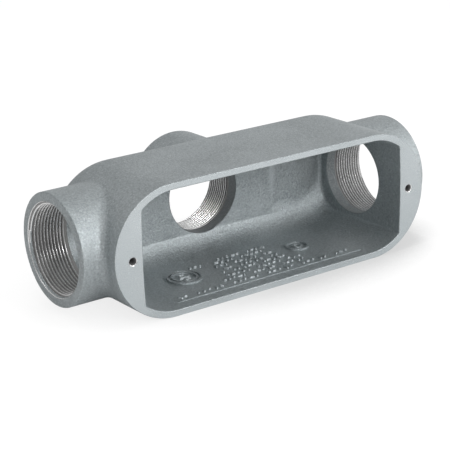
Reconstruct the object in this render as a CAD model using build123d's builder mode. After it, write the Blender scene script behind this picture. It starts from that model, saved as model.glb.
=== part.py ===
from build123d import *
import math
import os

os.makedirs("parts", exist_ok=True)

# T-shaped conduit body for 2 inch rigid conduit: one casting with a covered
# opening in front, a threaded hub at each end and a threaded hub in the back.
# Frame: origin in the cover seat plane, midway between the two cover screws.
# +X along the run, +Y into the body (towards the back hub), +Z up.
# All sizes in millimetres.

# ---- body shell ------------------------------------------------------------
body_len = 243.8          # over the rounded ends, along X
body_ht = 84.5            # over the flat long sides, along Z
body_depth = 87.7         # cover seat to flat back
wall = 4.2                # long side walls and back wall
back_edge_r = 22.5        # outer rounding all round the back
seat_edge_r = 0.4         # broken outer edge of the machined cover seat

# ---- cavity ----------------------------------------------------------------
end_wall_x = 101.5        # where the flat end walls meet the long sides
end_wall_bow = 0.7        # the end walls bow outwards by this much
end_arc_inset = 1.45      # cavity's rounded ends, centred this much nearer the middle
floor_fillet = 19.0       # long sides into the back wall
corner_fillet = 3.0       # end walls into the back wall
pad_half = 57.0           # thicker middle of the back wall, half length
pad_rise = 1.3            # how far that middle stands in from the back wall
pad_ramp = 3.0            # width of its sloped ends
opening_edge_r = 0.6      # broken inner edge of the cover seat

# ---- hubs ------------------------------------------------------------------
hub_axis_y = 49.0         # depth of the run's axis behind the cover seat
hub_r = 36.0              # hub outside radius
end_hub_face = 135.2      # |x| of the end hub mouths
back_hub_face = 116.2     # y of the back hub mouth
hub_lip_r = 1.1           # rounding of the hub's outer edge at the mouth
mouth_r = 30.3            # lead-in chamfer, large radius
bore_r = 28.0             # thread's crest radius, mid taper
lead_in = 2.3             # depth of the lead-in chamfer
socket_depth = 25.9       # mouth to the shoulder that stops the conduit
throat_r = 27.1           # smooth throat the wires are pulled over
throat_edge_r = 0.6       # rounding where each throat meets the cavity
neck_fillet = 6.0         # end hubs into the body
back_neck_fillet = 6.0    # back hub into the body

# ---- cover screws ----------------------------------------------------------
screw_spacing = 218.8
screw_r = 2.1             # tapped hole, crest radius
screw_depth = 12.0
screw_chamfer = 0.8

# ---- raised foundry marks on the lower wall (plain shapes only) ------------
mark_rise = 1.15
label_rise = 0.45
label_x = (-73.5, 76.5)
label_y = (9.2, 60.0)
label_ramp = 3.0          # sloped ends of the label ground
ring_big = (-45.5, 41.2)
ring_small = (46.7, 41.3)

inner_ht = body_ht - 2 * wall
inner_depth = body_depth - wall
floor_z = -inner_ht / 2
inner_r = inner_ht / 2
arc_cx = body_len / 2 - body_ht / 2 - end_arc_inset   # centres of the cavity's rounded ends
corner_z = math.sqrt(inner_r ** 2 - (end_wall_x - arc_cx) ** 2)

# ---- cavity core -----------------------------------------------------------
with BuildPart() as cavity_core:
    with BuildSketch(Plane.XZ):
        SlotOverall(2 * (arc_cx + inner_r), inner_ht)
    extrude(amount=-inner_depth)
    fillet(cavity_core.edges().group_by(Axis.Y)[-1], radius=floor_fillet)
    # flat, slightly bowed end walls cut the rounded ends off
    with BuildSketch(Plane.XZ) as between_end_walls:
        with BuildLine():
            Line((-end_wall_x, inner_r + 5), (end_wall_x, inner_r + 5))
            Line((end_wall_x, inner_r + 5), (end_wall_x, corner_z))
            ThreePointArc((end_wall_x, corner_z), (end_wall_x + end_wall_bow, 0), (end_wall_x, -corner_z))
            Line((end_wall_x, -corner_z), (end_wall_x, -inner_r - 5))
            Line((end_wall_x, -inner_r - 5), (-end_wall_x, -inner_r - 5))
            Line((-end_wall_x, -inner_r - 5), (-end_wall_x, -corner_z))
            ThreePointArc((-end_wall_x, -corner_z), (-end_wall_x - end_wall_bow, 0), (-end_wall_x, corner_z))
            Line((-end_wall_x, corner_z), (-end_wall_x, inner_r + 5))
        make_face()
    extrude(amount=-inner_depth - 5, mode=Mode.INTERSECT)
    deep_rim = cavity_core.edges().filter_by(
        lambda e: abs(e.center().X) > end_wall_x - 0.5
        and e.bounding_box().max.Y > inner_depth - floor_fillet + 1.0
        and e.center().Y > inner_depth - floor_fillet + 0.5
    )
    fillet(deep_rim, radius=corner_fillet)
    # thicker middle of the back wall, with sloped ends
    with BuildSketch(Plane.XY) as pad_profile:
        with BuildLine():
            Polyline(
                (-pad_half - pad_ramp, inner_depth + 1.0),
                (-pad_half - pad_ramp, inner_depth),
                (-pad_half, inner_depth - pad_rise),
                (pad_half, inner_depth - pad_rise),
                (pad_half + pad_ramp, inner_depth),
                (pad_half + pad_ramp, inner_depth + 1.0),
                close=True,
            )
        make_face()
    extrude(amount=inner_r, both=True, mode=Mode.SUBTRACT)

# ---- bores, one profile turned about each hub axis -------------------------
bore_pts = [
    (0.0, -1.0),
    (mouth_r + 1.0, -1.0),
    (mouth_r, 0.0),
    (bore_r, lead_in),
    (bore_r, socket_depth),
    (throat_r, socket_depth),
    (throat_r, 40.0),
    (0.0, 40.0),
]  # (radius, distance in from the mouth)

with BuildPart() as run_bores:
    for side in (-1, 1):
        with BuildSketch(Plane.XY):
            with BuildLine():
                Polyline(
                    *[(side * (end_hub_face - d), hub_axis_y + r) for r, d in bore_pts],
                    close=True,
                )
            make_face()
        revolve(axis=Axis((0, hub_axis_y, 0), (1, 0, 0)))

with BuildPart() as branch_bore:
    with BuildSketch(Plane.XY):
        with BuildLine():
            Polyline(*[(r, back_hub_face - d) for r, d in bore_pts], close=True)
        make_face()
    revolve(axis=Axis.Y)

# ---- raised marks: two plain rings, and rows of plain bars and pips --------
def bar_row(y, x0, x1, step, turn):
    """(x, y, length, angle) of short bars of uneven length and slant, with gaps."""
    lengths = (2.6, 3.6, 3.0, 4.3, 2.3, 3.3)
    angles = (0, 90, 0, 62, 90, 0, -48)
    bars, x, i = [], x0, 0
    while x < x1:
        if (i + turn) % 6 != 5:
            lift = ((7 * i + 5 * turn) % 3 - 1) * 0.45
            bars.append((x, y + lift, lengths[(5 * i + 3 * turn) % 6], angles[(3 * i + 2 * turn) % 7]))
        x += step + 0.35 * ((4 * i + turn) % 3)
        i += 1
    return bars


bars = (
    bar_row(55.6, -9.0, 29.0, 3.7, 0)
    + bar_row(49.8, -14.0, 29.5, 3.7, 1)
    + bar_row(44.0, -18.5, 28.0, 3.6, 2)
    + bar_row(38.2, -15.0, 29.0, 3.8, 3)
    + bar_row(32.4, -20.5, 33.5, 3.7, 4)
    + bar_row(26.6, -26.0, 38.5, 3.8, 5)
    + bar_row(20.8, -28.5, 36.5, 3.6, 6)
    + bar_row(52.5, -33.5, -22.0, 3.6, 2)
    + bar_row(13.9, -68.0, 71.0, 4.3, 3)
)

with BuildPart() as foundry_marks:
    # low label ground that the marks stand on: a step at its front edge only,
    # sloping off to nothing at the back and at both ends
    top = floor_z + label_rise
    with BuildSketch(Plane.YZ):
        with BuildLine():
            Polyline(
                (label_y[0], floor_z - 0.5),
                (label_y[0], top),
                (label_y[0] + 12.0, top),
                (label_y[1], floor_z),
                (label_y[1], floor_z - 0.5),
                close=True,
            )
        make_face()
    extrude(amount=label_x[1], both=True)
    with BuildSketch(Plane.XZ):
        with BuildLine():
            Polyline(
                (label_x[0], floor_z - 1.0),
                (label_x[0], floor_z - 0.02),
                (label_x[0] + label_ramp, top),
                (label_x[1] - label_ramp, top),
                (label_x[1], floor_z - 0.02),
                (label_x[1], floor_z - 1.0),
                close=True,
            )
        make_face()
    extrude(amount=-label_y[1] - 1.0, mode=Mode.INTERSECT)
    foot = floor_z - 0.2
    with BuildSketch(Plane.XY.offset(foot)):
        with Locations(ring_big):
            Circle(12.0)
            Circle(10.5, mode=Mode.SUBTRACT)
            Circle(8.9)
            Circle(7.6, mode=Mode.SUBTRACT)
        with Locations(ring_small):
            Circle(8.1)
            Circle(6.8, mode=Mode.SUBTRACT)
            Circle(3.8)
            Circle(2.7, mode=Mode.SUBTRACT)
    extrude(amount=0.2 + label_rise + mark_rise)
    with BuildSketch(Plane.XY.offset(foot)):
        for x, y, length, angle in bars:
            with Locations(Location((x, y, 0), (0, 0, angle))):
                SlotOverall(length, 2.0)
        with Locations(ring_big):
            SlotOverall(9.0, 2.1)
            with Locations((0, 3.8), (0, -3.8)):
                SlotOverall(5.0, 1.9)
    extrude(amount=0.2 + label_rise + mark_rise, taper=12)

# ---- the casting -----------------------------------------------------------
with BuildPart() as conduit_body:
    with BuildSketch(Plane.XZ):
        SlotOverall(body_len, body_ht)
    extrude(amount=-body_depth)
    fillet(conduit_body.edges().group_by(Axis.Y)[-1], radius=back_edge_r)
    # run hubs and branch hub
    with BuildSketch(Plane.YZ):
        with Locations((hub_axis_y, 0)):
            Circle(hub_r)
    extrude(amount=end_hub_face, both=True)
    with BuildSketch(Plane.XZ.offset(-back_hub_face)):
        Circle(hub_r)
    extrude(amount=back_hub_face - hub_axis_y)
    # hub necks
    run_necks = conduit_body.edges().filter_by(
        lambda e: 60.0 < abs(e.center().X) < end_hub_face - 1.0
        and e.bounding_box().min.Y > 1.0
        and e.bounding_box().max.Y < back_hub_face
        and e.geom_type not in (GeomType.CIRCLE, GeomType.LINE)
    )
    fillet(run_necks, radius=neck_fillet)
    branch_neck = conduit_body.edges().filter_by(
        lambda e: abs(math.hypot(e.center().X, e.center().Z)) < hub_r + 0.5
        and body_depth - 8.0 < e.center().Y < body_depth + 0.1
        and e.bounding_box().size.X > 1.0
        and abs(math.hypot((e @ 0.5).X, (e @ 0.5).Z) - hub_r) < 0.05
    )
    fillet(branch_neck, radius=back_neck_fillet)
    # rounded lips of the three mouths, and the broken edge of the cover seat
    lips = conduit_body.edges().filter_by(GeomType.CIRCLE).filter_by(
        lambda e: abs(e.radius - hub_r) < 0.01
        and (abs(e.center().X) > end_hub_face - 0.01 or e.center().Y > back_hub_face - 0.01)
    )
    fillet(lips, radius=hub_lip_r)
    fillet(conduit_body.edges().group_by(Axis.Y)[0], radius=seat_edge_r)
    # cavity and bores
    add(cavity_core.part, mode=Mode.SUBTRACT)
    add(run_bores.part, mode=Mode.SUBTRACT)
    add(branch_bore.part, mode=Mode.SUBTRACT)
    # throat edges, seen from inside the cavity
    throat_edges = conduit_body.edges().filter_by(
        lambda e: abs(
            math.hypot((e @ 0.25).Y - hub_axis_y, (e @ 0.25).Z) - throat_r
        ) < 0.05
        and end_wall_x - 1.0 < abs(e.center().X) < end_wall_x + 1.5
    ) + conduit_body.edges().filter_by(
        lambda e: abs(math.hypot((e @ 0.25).X, (e @ 0.25).Z) - throat_r) < 0.05
        and abs(e.center().Y - inner_depth + pad_rise) < 1.0
    )
    fillet(throat_edges, radius=throat_edge_r)
    # inner edge of the cover seat
    seat_rim = conduit_body.edges().filter_by(
        lambda e: e.bounding_box().max.Y < 0.01
        and abs(e.center().X) < end_wall_x + end_wall_bow + 0.1
        and (e @ 0.5).Z ** 2 < (inner_r + 0.1) ** 2
    )
    fillet(seat_rim, radius=opening_edge_r)
    # marks
    add(foundry_marks.part)
    # cover screw holes
    with Locations(Plane.XZ):
        with GridLocations(screw_spacing, 1, 2, 1):
            CounterSinkHole(screw_r, screw_r + screw_chamfer, depth=screw_depth, counter_sink_angle=90)

conduit_body.part.label = "conduit_body"
export_step(conduit_body.part, "parts/conduit_body.step")
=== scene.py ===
import bpy
import bmesh
import math
import numpy as np
from mathutils import Vector, Matrix


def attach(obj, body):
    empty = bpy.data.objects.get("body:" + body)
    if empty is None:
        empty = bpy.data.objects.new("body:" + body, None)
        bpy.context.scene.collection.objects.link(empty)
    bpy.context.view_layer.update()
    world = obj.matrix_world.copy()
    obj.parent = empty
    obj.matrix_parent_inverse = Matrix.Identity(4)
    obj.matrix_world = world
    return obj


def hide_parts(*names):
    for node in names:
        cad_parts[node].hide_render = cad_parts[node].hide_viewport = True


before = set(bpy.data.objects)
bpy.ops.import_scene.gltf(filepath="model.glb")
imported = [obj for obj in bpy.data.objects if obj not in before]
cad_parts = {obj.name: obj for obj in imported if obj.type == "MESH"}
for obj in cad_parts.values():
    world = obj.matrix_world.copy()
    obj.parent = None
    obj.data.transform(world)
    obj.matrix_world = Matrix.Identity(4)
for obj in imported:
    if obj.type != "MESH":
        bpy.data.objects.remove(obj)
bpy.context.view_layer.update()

# ---------------------------------------------------------------------------
# Sizes, in metres. The casting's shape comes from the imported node; the taper
# pipe threads, the screw threads and the shoulders are cut here.
# ---------------------------------------------------------------------------
MM = 0.001
HUB_Y = 49.0 * MM            # run axis behind the cover seat
MOUTH_R = 30.3 * MM          # lead-in chamfer at the mouth
BORE_R = 28.0 * MM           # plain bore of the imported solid
SOCKET = 25.9 * MM           # mouth to shoulder
THROAT_R = 27.1 * MM
PITCH = 25.4 / 11.5 * MM     # 11.5 threads per inch
THREAD_H = 0.80 * PITCH
TAPER = 1.0 / 32.0           # on the radius
MINOR_R = 28.30 * MM         # crest radius at the mouth plane

HUBS = [  # name, mouth centre, outward axis
    ("left", Vector((-135.2 * MM, HUB_Y, 0)), Vector((-1, 0, 0))),
    ("right", Vector((135.2 * MM, HUB_Y, 0)), Vector((1, 0, 0))),
    ("branch", Vector((0, 116.2 * MM, 0)), Vector((0, 1, 0))),
]
SCREWS = [
    ("left", Vector((-109.4 * MM, 0, 0)), Vector((0, -1, 0))),
    ("right", Vector((109.4 * MM, 0, 0)), Vector((0, -1, 0))),
]
SCREW_R = 2.1 * MM
SCREW_TOP_R = 2.9 * MM
SCREW_DEPTH = 12.0 * MM
SCREW_PITCH = 0.95 * MM
SCREW_H = 0.42 * MM

CAST, SEAT, BARE = 0, 1, 2    # material slots


def basis(axis):
    """Two directions that make a right-handed set with the axis."""
    up = Vector((0, 0, 1))
    e1 = up - up.dot(axis) * axis
    e1.normalize()
    return e1, axis.cross(e1)


def local(co, centre, axis, e1, e2):
    """(radius, angle, depth in from the mouth) of points."""
    d = co - np.array(centre)
    z = d @ np.array(axis)
    x = d @ np.array(e1)
    y = d @ np.array(e2)
    return np.hypot(x, y), np.arctan2(y, x), -z


def smooth(t):
    t = min(max(t, 0.0), 1.0)
    return t * t * (3 - 2 * t)


def stitch(bm, ring_a, ring_b, slot):
    """Triangles between two rings of (angle, vert), both round the same axis."""
    tau = 2 * math.pi
    a = sorted(ring_a, key=lambda p: p[0])
    start = a[0][0]
    b = sorted(((ang - start) % tau, v) for ang, v in
               ((p[0], p[1].index) for p in ring_b))
    table = {p[1].index: p[1] for p in ring_b}
    a = [(ang - start, v) for ang, v in a]
    # start ring b at its vertex nearest to a's first, on either side of it
    if tau - b[-1][0] < b[0][0]:
        b = [(b[-1][0] - tau, b[-1][1])] + b[:-1]
    b = [(ang, table[i]) for ang, i in b]
    na, nb, i, j = len(a), len(b), 0, 0
    made = []
    while i < na or j < nb:
        next_a = a[(i + 1) % na][0] + (tau if i + 1 >= na else 0)
        next_b = b[(j + 1) % nb][0] + (tau if j + 1 >= nb else 0)
        va, vb = a[i % na][1], b[j % nb][1]
        if j >= nb or (i < na and next_a <= next_b):
            made.append(bm.faces.new((va, a[(i + 1) % na][1], vb)))
            i += 1
        else:
            made.append(bm.faces.new((va, b[(j + 1) % nb][1], vb)))
            j += 1
    for f in made:
        f.material_index = slot
    return made


def cut_thread(bm, centre, axis, start, end, radius_at, pitch, phases, segments):
    """A helical surface between the plane rings at depths start and end.
    start and end are (depth, radius). radius_at(depth, phase) is the surface.
    Returns the two plane rings as lists of (angle, vert), and the faces."""
    e1, e2 = basis(axis)
    per_turn = len(phases)

    def place(depth, radius, angle):
        return centre - depth * axis + radius * (math.cos(angle) * e1 + math.sin(angle) * e2)

    angles = [2 * math.pi * i / segments for i in range(segments)]
    layer = bm.verts.layers.float["groove_shade"]
    gap = 0.10 * pitch
    first = [bm.verts.new(place(start[0], start[1], t)) for t in angles]
    if pitch > 1.5 * MM:
        for v in first:
            v[layer] = -1.0
    last = [bm.verts.new(place(end[0], end[1], t)) for t in angles]
    rows = range(-2 * per_turn, int(end[0] / pitch + 3) * per_turn)

    def depth_of(i, j):
        return pitch * (j // per_turn + phases[j % per_turn]) - pitch * i / segments

    grid = []                       # for each column, {row: vert}
    for i in range(segments):
        column = {}
        for j in rows:
            d = depth_of(i, j)
            if start[0] + gap < d < end[0] - gap:
                r, groove_shade = radius_at(d, phases[j % per_turn])
                column[j] = bm.verts.new(place(d, r, angles[i]))
                column[j][layer] = groove_shade
        grid.append(column)
    faces = []

    def face(*vs):
        vs = [v for k, v in enumerate(vs) if v is not vs[k - 1]]
        if len(vs) > 2:
            faces.append(bm.faces.new(vs))

    for i in range(segments):
        k = (i + 1) % segments
        here = grid[i]
        # past the seam a row goes on as the row one turn further out
        ahead = {j + (per_turn if k == 0 else 0): v for j, v in grid[k].items()}
        both = sorted(set(here) & set(ahead))
        for j in both:
            if j + 1 in here and j + 1 in ahead:
                face(here[j], here[j + 1], ahead[j + 1], ahead[j])
        # the two ends, where a row runs out through the plane
        lo_h, lo_a = min(here), min(ahead)
        face(first[i], here[lo_h], first[k])
        if lo_a > lo_h:
            face(here[lo_h], ahead[lo_a], first[k])
            for j in range(lo_h, lo_a):
                face(here[j], here[j + 1], ahead[lo_a])
        else:
            face(here[lo_h], ahead[lo_a], first[k])
            for j in range(lo_a, lo_h):
                face(here[lo_h], ahead[j + 1], ahead[j])
        hi_h, hi_a = max(here), max(ahead)
        face(last[i], last[k], here[hi_h])
        face(here[hi_h], last[k], ahead[hi_a])
        if hi_a > hi_h:
            for j in range(hi_h, hi_a):
                face(here[hi_h], ahead[j], ahead[j + 1])
        else:
            for j in range(hi_a, hi_h):
                face(here[j], ahead[hi_a], here[j + 1])
    for f in faces:
        lacquered = all(v[layer] < -0.5 for v in f.verts)
        f.material_index = CAST if lacquered else BARE
    return list(zip(angles, first)), list(zip(angles, last)), faces


def open_loops(bm, inside):
    """Boundary vertices that pass the test, as a list."""
    found = set()
    for e in bm.edges:
        if len(e.link_faces) == 1:
            for v in e.verts:
                found.add(v)
    return [v for v in found if inside(v)]


def build_casting():
    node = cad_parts["conduit_body"]
    bm = bmesh.new()
    bm.from_mesh(node.data)
    layer = bm.verts.layers.float.new("groove_shade")
    bmesh.ops.remove_doubles(bm, verts=bm.verts, dist=3e-6)
    bmesh.ops.dissolve_degenerate(bm, edges=bm.edges, dist=1e-7)
    bm.verts.ensure_lookup_table()
    bm.faces.ensure_lookup_table()
    for f in bm.faces:
        f.material_index = CAST
        if max(v.co.y for v in f.verts) < 2e-5:
            f.material_index = SEAT

    tol = 1.2e-5
    jobs = []
    for name, centre, axis in HUBS:
        jobs.append((centre, axis, MOUTH_R, THROAT_R, SOCKET, "hub"))
    for name, centre, axis in SCREWS:
        jobs.append((centre, axis, SCREW_TOP_R, SCREW_R, SCREW_DEPTH, "screw"))

    for centre, axis, top_r, low_r, depth, kind in jobs:
        e1, e2 = basis(axis)
        co = np.array([v.co for v in bm.verts], float)
        rad, ang, dep = local(co, centre, axis, e1, e2)
        bm.verts.index_update()
        ok = (rad < top_r + tol) & (rad > low_r - tol) & (dep > -tol) & (dep < depth + tol)
        gone = []
        for f in bm.faces:
            idx = [v.index for v in f.verts]
            if all(ok[i] for i in idx):
                deps = [dep[i] for i in idx]
                if kind == "screw" and min(deps) > depth - tol:
                    continue            # the flat bottom of the blind hole
                gone.append(f)
        bmesh.ops.delete(bm, geom=gone, context="FACES")
        bm.verts.ensure_lookup_table()
        bm.verts.index_update()
        outer, inner = [], []
        for v in open_loops(bm, lambda v: True):
            d = v.co - centre
            z = -d.dot(axis)
            x, y = d.dot(e1), d.dot(e2)
            r = math.hypot(x, y)
            if abs(z) < tol and abs(r - top_r) < tol:
                outer.append((math.atan2(y, x) % (2 * math.pi), v))
            elif abs(z - depth) < tol and abs(r - low_r) < tol:
                inner.append((math.atan2(y, x) % (2 * math.pi), v))
        if kind == "hub":
            def radius_at(d, phase):
                crest = MINOR_R - TAPER * d
                fade = 1 - smooth((d - 23.0 * MM) / (2.2 * MM))
                x = phase % 1.0
                inward = 0.05 < x < 0.5                   # the flank that faces the shoulder
                x = min(x, 1 - x)                         # 0 at a crest, 0.5 at a root
                h = min(max((x - 0.045) / 0.41, 0.0), 1.0)
                r = crest + THREAD_H * h * fade
                if axis.y > 0.5:                          # more painted shade in the branch hub
                    dull_and_shade = min(1.9 * h + (0.70 if inward else 0.0), 1.28)
                elif axis.x > 0.5:                        # less painted shade in the right one
                    dull_and_shade = min(0.72 * h + (0.12 if inward else 0.0), 0.98)
                else:
                    dull_and_shade = min(h + (0.30 if inward else 0.0), 0.98)
                # the second value is painted shade in the grooves, darker towards the roots and the runout
                # by the shoulder; -1 keeps the chamfer lacquered
                return (r, dull_and_shade * fade + 0.9 * (1 - fade)) if r > MOUTH_R - d else (MOUTH_R - d, -1.0)
            phases = [0.0, 0.09, 0.275, 0.50, 0.59, 0.80]
            phases = [p - 0.045 for p in phases]
            start = (0.40 * MM, MOUTH_R - 0.40 * MM)
            end_d = 25.5 * MM
            end = (end_d, MINOR_R - TAPER * end_d)
            ring0, ring1, faces = cut_thread(
                bm, centre, axis, start, end, radius_at, PITCH, phases, 240)
            # the shoulder: a short flat step down to the cast throat, darkened with painted shade
            step = []
            for t, v in ring1:
                p = centre - (SOCKET - 0.06 * MM) * axis + (THROAT_R + 0.22 * MM) * (
                    math.cos(t) * e1 + math.sin(t) * e2)
                step.append((t, bm.verts.new(p)))
                v[layer] = step[-1][1][layer] = 0.8
            n = len(step)
            for i in range(n):
                k = (i + 1) % n
                f = bm.faces.new((ring1[i][1], ring1[k][1], step[k][1], step[i][1]))
                f.material_index = BARE
            bm.verts.index_update()
            stitch(bm, outer, ring0, BARE)
            stitch(bm, inner, step, BARE)
        else:
            def radius_at(d, phase):
                x = phase % 1.0
                x = min(x, 1 - x)
                h = min(max((x - 0.06) / 0.38, 0.0), 1.0)
                fade = 1 - smooth((d - 9.2 * MM) / (1.6 * MM))
                r = SCREW_R + SCREW_H * h * fade
                # painted shade: past 1 the screw threads turn nearly black
                return (r, 1.3) if r > SCREW_TOP_R - d else (SCREW_TOP_R - d, 0.1)
            phases = [-0.06, 0.06, 0.44, 0.56]
            start = (0.10 * MM, SCREW_TOP_R - 0.10 * MM)
            end = (SCREW_DEPTH - 0.25 * MM, SCREW_R)
            ring0, ring1, faces = cut_thread(
                bm, centre, axis, start, end, radius_at, SCREW_PITCH, phases, 48)
            bm.verts.index_update()
            stitch(bm, outer, ring0, BARE)
            stitch(bm, inner, ring1, BARE)

    bmesh.ops.recalc_face_normals(bm, faces=bm.faces)
    if bm.calc_volume(signed=True) < 0:
        bmesh.ops.reverse_faces(bm, faces=bm.faces)
    limit = math.radians(33)
    for e in bm.edges:
        e.smooth = True
        if len(e.link_faces) == 2:
            a, b = e.link_faces
            if e.calc_face_angle(0) > limit:
                e.smooth = False
    for f in bm.faces:
        f.smooth = True
    open_edges = sum(1 for e in bm.edges if len(e.link_faces) != 2)
    print("casting: %d faces, %d triangles, %d open edges, volume %.1f cm3" % (
        len(bm.faces), sum(len(f.verts) - 2 for f in bm.faces), open_edges,
        bm.calc_volume() * 1e6))
    bmesh.ops.triangulate(bm, faces=[f for f in bm.faces if len(f.verts) > 3])
    mesh = bpy.data.meshes.new("casting")
    bm.to_mesh(mesh)
    bm.free()
    obj = bpy.data.objects.new("casting", mesh)
    bpy.context.scene.collection.objects.link(obj)
    weighted = obj.modifiers.new("weighted", "WEIGHTED_NORMAL")
    weighted.mode = "FACE_AREA"
    weighted.weight = 50
    weighted.keep_sharp = True
    return obj


# ---------------------------------------------------------------------------
# Materials
# ---------------------------------------------------------------------------
class Nodes:
    """Short helper for building a node tree."""

    def __init__(self, name):
        self.mat = bpy.data.materials.new(name)
        self.mat.use_nodes = True
        self.tree = self.mat.node_tree
        self.tree.nodes.clear()
        self.out = self.add("ShaderNodeOutputMaterial")
        self.bsdf = self.add("ShaderNodeBsdfPrincipled")
        self.link(self.bsdf, "BSDF", self.out, "Surface")
        self.coords = self.add("ShaderNodeTexCoord")

    def add(self, kind, **values):
        node = self.tree.nodes.new(kind)
        for k, v in values.items():
            setattr(node, k, v)
        return node

    def link(self, a, a_out, b, b_in):
        self.tree.links.new(a.outputs[a_out], b.inputs[b_in])

    def noise(self, scale, detail=2.0, rough=0.5, distortion=0.0, vector=None):
        n = self.add("ShaderNodeTexNoise")
        n.inputs["Scale"].default_value = scale
        n.inputs["Detail"].default_value = detail
        n.inputs["Roughness"].default_value = rough
        n.inputs["Distortion"].default_value = distortion
        if vector is None:
            self.link(self.coords, "Object", n, "Vector")
        else:
            self.tree.links.new(vector, n.inputs["Vector"])
        return n.outputs["Fac"]

    def voronoi(self, scale, randomness=1.0, feature="F1", vector=None):
        n = self.add("ShaderNodeTexVoronoi", feature=feature)
        n.inputs["Scale"].default_value = scale
        n.inputs["Randomness"].default_value = randomness
        if vector is None:
            self.link(self.coords, "Object", n, "Vector")
        else:
            self.tree.links.new(vector, n.inputs["Vector"])
        return n.outputs["Distance"]

    def math(self, op, a, b=None, clamp=False):
        n = self.add("ShaderNodeMath", operation=op, use_clamp=clamp)
        for i, v in enumerate((a, b)):
            if v is None:
                continue
            if isinstance(v, (int, float)):
                n.inputs[i].default_value = v
            else:
                self.tree.links.new(v, n.inputs[i])
        return n.outputs[0]

    def remap(self, value, lo, hi, to_lo=0.0, to_hi=1.0):
        n = self.add("ShaderNodeMapRange")
        self.tree.links.new(value, n.inputs["Value"])
        n.inputs["From Min"].default_value = lo
        n.inputs["From Max"].default_value = hi
        n.inputs["To Min"].default_value = to_lo
        n.inputs["To Max"].default_value = to_hi
        return n.outputs["Result"]

    def mix(self, fac, a, b):
        n = self.add("ShaderNodeMix", data_type="RGBA")
        if isinstance(fac, (int, float)):
            n.inputs[0].default_value = fac
        else:
            self.tree.links.new(fac, n.inputs[0])
        for i, v in ((6, a), (7, b)):
            if isinstance(v, tuple):
                n.inputs[i].default_value = (*v, 1.0)
            else:
                self.tree.links.new(v, n.inputs[i])
        return n.outputs[2]

    def bump(self, height, distance, strength=1.0, normal=None):
        n = self.add("ShaderNodeBump")
        n.inputs["Strength"].default_value = strength
        n.inputs["Distance"].default_value = distance
        self.tree.links.new(height, n.inputs["Height"])
        if normal is not None:
            self.tree.links.new(normal, n.inputs["Normal"])
        return n.outputs["Normal"]

    def set(self, name, value):
        socket = self.bsdf.inputs[name]
        if isinstance(value, (int, float)):
            socket.default_value = value
        elif isinstance(value, tuple):
            socket.default_value = (*value, 1.0)
        else:
            self.tree.links.new(value, socket)


def cast_lacquer():
    """Silver-grey lacquer over a sand-cast skin."""
    m = Nodes("cast_lacquer")
    blotch = m.noise(24.0, 3.0, 0.55)
    grain = m.noise(700.0, 2.0, 0.62)
    fine = m.noise(2300.0, 2.0, 0.6)
    pits = m.voronoi(520.0)
    flake = m.remap(m.noise(900.0, 1.0, 0.5), 0.52, 0.74)
    tone = m.math("ADD", m.math("MULTIPLY", blotch, 0.35), m.math("MULTIPLY", grain, 0.65))
    colour = m.mix(m.remap(tone, 0.32, 0.68), (0.274, 0.304, 0.314), (0.456, 0.491, 0.504))
    colour = m.mix(m.math("MULTIPLY", flake, 0.45), colour, (0.60, 0.65, 0.665))
    # painted shade darkens the branch and right throats, and a painted
    # highlight lightens the low ridge that ends the thicker middle of the back wall
    split = m.add("ShaderNodeSeparateXYZ")
    m.link(m.coords, "Object", split, "Vector")
    x, y, z = (split.outputs[i] for i in range(3))
    z2 = m.math("MULTIPLY", z, z)
    branch = m.math("MULTIPLY",
                    m.math("LESS_THAN", m.math("ADD", m.math("MULTIPLY", x, x), z2), (27.6 * MM) ** 2),
                    m.math("GREATER_THAN", y, 79.0 * MM))
    yh = m.math("SUBTRACT", y, HUB_Y)
    run = m.math("MULTIPLY",
                 m.math("LESS_THAN", m.math("ADD", m.math("MULTIPLY", yh, yh), z2), (27.6 * MM) ** 2),
                 m.math("GREATER_THAN", x, 98.5 * MM))
    throat_shade = m.math("ADD", m.math("MULTIPLY", branch, 0.62), m.math("MULTIPLY", run, 0.30), clamp=True)
    # painted shade: the throats go nearly black
    colour = m.mix(throat_shade, colour, (0.10, 0.11, 0.115))
    away = m.math("ABSOLUTE", m.math("SUBTRACT", x, 58.5 * MM))
    ridge_highlight = m.math("MULTIPLY", m.remap(away, 4.6 * MM, 0.2 * MM),
                   m.math("MULTIPLY", m.remap(z, -24.0 * MM, 6.0 * MM), m.math("LESS_THAN", y, 84.0 * MM)))
    ridge_highlight = m.math("MULTIPLY", ridge_highlight, m.math("GREATER_THAN", y, 76.0 * MM))
    ridge_highlight = m.math("MULTIPLY", ridge_highlight, m.math("LESS_THAN", z, 31.0 * MM))
    # painted highlight along the ridge
    colour = m.mix(m.math("MULTIPLY", ridge_highlight, 0.50), colour, (0.72, 0.77, 0.785))
    m.set("Base Color", colour)
    m.set("Metallic", 0.78)
    m.set("Roughness", m.remap(m.math("ADD", grain, blotch), 0.6, 1.4, 0.42, 0.56))
    m.set("IOR", 1.48)
    height = m.math("ADD", m.math("MULTIPLY", grain, 0.72), m.math("MULTIPLY", fine, 0.28))
    n1 = m.bump(height, 0.00062, 1.0)
    n2 = m.bump(m.remap(pits, 0.0, 0.45), 0.00010, 0.5, n1)
    n3 = m.bump(m.noise(120.0, 2.0, 0.5), 0.0008, 0.18, n2)
    m.set("Normal", n3)
    return m.mat


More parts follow.
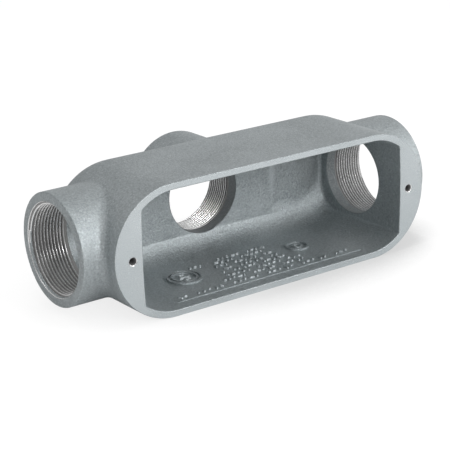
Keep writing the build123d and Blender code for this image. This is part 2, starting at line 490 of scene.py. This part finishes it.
def seat_lacquer():
    """The ground cover seat under the same lacquer: flat, with a finer grain."""
    m = Nodes("seat_lacquer")
    blotch = m.noise(26.0, 2.0, 0.5)
    fine = m.noise(1300.0, 3.0, 0.6)
    stretch = m.add("ShaderNodeMapping")
    stretch.inputs["Scale"].default_value = (1.0, 1.0, 14.0)
    m.link(m.coords, "Object", stretch, "Vector")
    lines = m.noise(190.0, 4.0, 0.6, vector=stretch.outputs["Vector"])
    tone = m.math("ADD", m.math("MULTIPLY", blotch, 0.45), m.math("MULTIPLY", fine, 0.55))
    colour = m.mix(m.remap(tone, 0.32, 0.68), (0.445, 0.487, 0.503), (0.560, 0.600, 0.616))
    m.set("Base Color", colour)
    m.set("Metallic", 0.82)
    m.set("Roughness", m.remap(m.math("ADD", fine, lines), 0.6, 1.4, 0.19, 0.30))
    m.set("IOR", 1.48)
    height = m.math("ADD", m.math("MULTIPLY", fine, 0.6), m.math("MULTIPLY", lines, 0.4))
    m.set("Normal", m.bump(height, 0.00012, 0.5))
    return m.mat


def bare_thread():
    """Bare cut metal of the threads, shoulders and screw holes: bright crests
    over duller grooves, darkened with painted shade and nearly black in the deepest."""
    m = Nodes("bare_thread")
    fine = m.noise(1400.0, 3.0, 0.65)
    patch = m.noise(60.0, 3.0, 0.6)
    groove_shade = m.add("ShaderNodeAttribute", attribute_type="GEOMETRY", attribute_name="groove_shade")
    depth = m.math("ADD", groove_shade.outputs["Fac"], m.math("MULTIPLY", m.math("SUBTRACT", fine, 0.5), 0.18))
    # the darker root colour is painted shade in the grooves
    dull_and_shade = m.remap(depth, 0.12, 0.45)
    crest = m.mix(m.remap(patch, 0.35, 0.65), (0.84, 0.84, 0.84), (0.96, 0.96, 0.96))
    root = m.mix(m.remap(patch, 0.30, 0.70), (0.29, 0.288, 0.286), (0.41, 0.408, 0.406))
    colour = m.mix(dull_and_shade, crest, root)
    # painted shade: past 1 the grooves turn nearly black
    m.set("Base Color", m.mix(m.remap(depth, 1.02, 1.20), colour, (0.13, 0.13, 0.13)))
    m.set("Metallic", m.remap(dull_and_shade, 0.0, 1.0, 0.82, 0.35))
    rough = m.remap(m.math("ADD", fine, dull_and_shade), 0.4, 1.6, 0.24, 0.66)
    m.set("Roughness", m.math("ADD", rough, m.remap(depth, 0.50, 1.10, 0.0, 0.24)))
    m.set("Normal", m.bump(fine, 0.00006, 0.12))
    return m.mat


casting = build_casting()
for mat in (cast_lacquer(), seat_lacquer(), bare_thread()):
    casting.data.materials.append(mat)
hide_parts("conduit_body")
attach(casting, "root")

# ---------------------------------------------------------------------------
# Floor, light and camera
# ---------------------------------------------------------------------------
FLOOR_Z = -42.25 * MM


KEY_W = 19.5                  # watts of the soft key light, just right of the front
SIDE_W = 1.6                  # watts of a small near light on the right
LEFT_W = 7.2                  # watts of the soft light left of the front
HIGH_W = 5.4                  # watts of the soft light high on the right
BACK_W = 3.5                  # watts of the soft light high on the left
SURROUND = {"+x": 1.02, "-x": 0.30, "+y": 0.45, "-y": 0.08, "+z": 0.55}
FLOOR_TONE = 0.80             # what the floor throws back on the object
FLOOR_LOOK = (0.16, 0.90, 0.55)   # as seen: lit share, even share, even share in the painted contact shadow


def floor():
    size, n = 6.0, 24
    bm = bmesh.new()
    bmesh.ops.create_grid(bm, x_segments=n, y_segments=n, size=size / 2)
    mesh = bpy.data.meshes.new("studio_floor")
    bm.to_mesh(mesh)
    bm.free()
    o = bpy.data.objects.new("studio_floor", mesh)
    o.location = (0, 0, FLOOR_Z - 0.00005)
    bpy.context.scene.collection.objects.link(o)
    mat = bpy.data.materials.new("studio_white")
    mat.use_nodes = True
    t = mat.node_tree
    t.nodes.clear()
    out = t.nodes.new("ShaderNodeOutputMaterial")
    mix = t.nodes.new("ShaderNodeMixShader")
    path = t.nodes.new("ShaderNodeLightPath")
    grey = t.nodes.new("ShaderNodeBsdfPrincipled")
    grey.inputs["Base Color"].default_value = (FLOOR_TONE, FLOOR_TONE, FLOOR_TONE, 1)
    grey.inputs["Roughness"].default_value = 0.9
    seen = t.nodes.new("ShaderNodeBsdfPrincipled")
    seen.inputs["Base Color"].default_value = (FLOOR_LOOK[0], FLOOR_LOOK[0], FLOOR_LOOK[0], 1)
    seen.inputs["Roughness"].default_value = 0.9
    seen.inputs["Specular IOR Level"].default_value = 0.0
    seen.inputs["Emission Color"].default_value = (1, 1, 1, 1)
    # painted contact shadow: ambient occlusion dims the floor's glow near the object
    contact = t.nodes.new("ShaderNodeAmbientOcclusion")
    contact.samples = 16
    contact.inputs["Distance"].default_value = 0.15
    painted_shadow = t.nodes.new("ShaderNodeMapRange")
    painted_shadow.interpolation_type = "SMOOTHSTEP"
    painted_shadow.inputs["From Min"].default_value = 0.84
    painted_shadow.inputs["From Max"].default_value = 0.50
    t.links.new(contact.outputs["AO"], painted_shadow.inputs["Value"])
    # the painted contact shadow is paler towards the left end
    coords = t.nodes.new("ShaderNodeTexCoord")
    split = t.nodes.new("ShaderNodeSeparateXYZ")
    t.links.new(coords.outputs["Object"], split.inputs[0])
    share = t.nodes.new("ShaderNodeMapRange")
    share.interpolation_type = "SMOOTHSTEP"
    share.inputs["From Min"].default_value = -0.13
    share.inputs["From Max"].default_value = 0.03
    share.inputs["To Min"].default_value = 0.14
    share.inputs["To Max"].default_value = 1.0
    t.links.new(split.outputs["X"], share.inputs["Value"])
    both = t.nodes.new("ShaderNodeMath")
    both.operation = "MULTIPLY"
    t.links.new(painted_shadow.outputs["Result"], both.inputs[0])
    t.links.new(share.outputs["Result"], both.inputs[1])
    even = t.nodes.new("ShaderNodeMapRange")
    even.inputs["To Min"].default_value = FLOOR_LOOK[1]
    even.inputs["To Max"].default_value = FLOOR_LOOK[2]
    t.links.new(both.outputs[0], even.inputs["Value"])
    t.links.new(even.outputs["Result"], seen.inputs["Emission Strength"])
    t.links.new(path.outputs["Is Camera Ray"], mix.inputs[0])
    t.links.new(grey.outputs[0], mix.inputs[1])
    t.links.new(seen.outputs[0], mix.inputs[2])
    t.links.new(mix.outputs[0], out.inputs[0])
    mesh.materials.append(mat)
    return o


def area(name, place, target, size, power, shape="RECTANGLE", size_y=None):
    light = bpy.data.lights.new(name, "AREA")
    light.shape = shape
    light.size = size
    light.size_y = size_y or size
    light.energy = power
    o = bpy.data.objects.new(name, light)
    o.location = place
    o.rotation_mode = "QUATERNION"
    o.rotation_quaternion = (Vector(target) - Vector(place)).to_track_quat("-Z", "Y")
    bpy.context.scene.collection.objects.link(o)
    return o


def surround():
    """White surround that lights the object more from some sides: a smooth sum
    over the axes. Behind the floor it shows as even white."""
    world = bpy.data.worlds.new("studio")
    bpy.context.scene.world = world
    world.use_nodes = True
    t = world.node_tree
    background = t.nodes["Background"]
    background.inputs["Color"].default_value = (1.0, 1.0, 1.0, 1.0)
    coords = t.nodes.new("ShaderNodeTexCoord")
    split = t.nodes.new("ShaderNodeSeparateXYZ")
    t.links.new(coords.outputs["Generated"], split.inputs[0])
    total = None
    for key, level in SURROUND.items():
        sign = t.nodes.new("ShaderNodeMath")
        sign.operation = "MULTIPLY"
        sign.use_clamp = True
        sign.inputs[1].default_value = 1.0 if key[0] == "+" else -1.0
        t.links.new(split.outputs["xyz".index(key[1])], sign.inputs[0])
        square = t.nodes.new("ShaderNodeMath")
        square.operation = "MULTIPLY"
        t.links.new(sign.outputs[0], square.inputs[0])
        t.links.new(sign.outputs[0], square.inputs[1])
        part = t.nodes.new("ShaderNodeMath")
        part.operation = "MULTIPLY_ADD"
        part.inputs[1].default_value = level
        part.inputs[2].default_value = 0.0
        t.links.new(square.outputs[0], part.inputs[0])
        if total is not None:
            t.links.new(total, part.inputs[2])
        total = part.outputs[0]
    path = t.nodes.new("ShaderNodeLightPath")
    level = t.nodes.new("ShaderNodeMix")
    level.data_type = "FLOAT"
    level.inputs[3].default_value = 1.0
    t.links.new(path.outputs["Is Camera Ray"], level.inputs[0])
    t.links.new(total, level.inputs[2])
    t.links.new(level.outputs[0], background.inputs["Strength"])


floor()
middle = (0.0, 0.04, 0.0)
area("key", (0.26, -1.81, 0.86), middle, 0.7, KEY_W, size_y=0.7)
area("side", (0.52, -0.84, 0.52), middle, 0.35, SIDE_W, size_y=0.35)
area("left", (-0.60, -1.74, 0.86), middle, 0.7, LEFT_W, size_y=0.7)
area("high", (0.54, -0.90, 1.74), middle, 0.7, HIGH_W, size_y=0.7)
area("back", (-1.10, 0.30, 1.50), middle, 0.6, BACK_W, size_y=0.6)
surround()

# camera fitted to the photograph
AZ, EL, ROLL = math.radians(35.786), math.radians(18.652), math.radians(-1.684)
F_PX = 1516.8
T = Vector((34.106, 1.350, 950.666)) * MM
d = Vector((-math.sin(AZ) * math.cos(EL), -math.cos(AZ) * math.cos(EL), math.sin(EL)))
right = Vector((math.cos(AZ), -math.sin(AZ), 0))
up = d.cross(right)
if up.z < 0:
    up = -up
r2 = math.cos(ROLL) * right + math.sin(ROLL) * up
u2 = -math.sin(ROLL) * right + math.cos(ROLL) * up
cam_data = bpy.data.cameras.new("camera")
cam_data.sensor_width = 36.0
cam_data.lens = 36.0 * F_PX / 450.0
cam_data.clip_start = 0.02
cam_data.clip_end = 20.0
camera = bpy.data.objects.new("camera", cam_data)
rot = Matrix((r2, u2, d)).transposed()
camera.matrix_world = Matrix.Translation(T.z * d - T.x * r2 - T.y * u2) @ rot.to_4x4()
bpy.context.scene.collection.objects.link(camera)
bpy.context.scene.camera = camera

bpy.context.scene.view_settings.view_transform = "Standard"
bpy.context.scene.view_settings.look = "None"
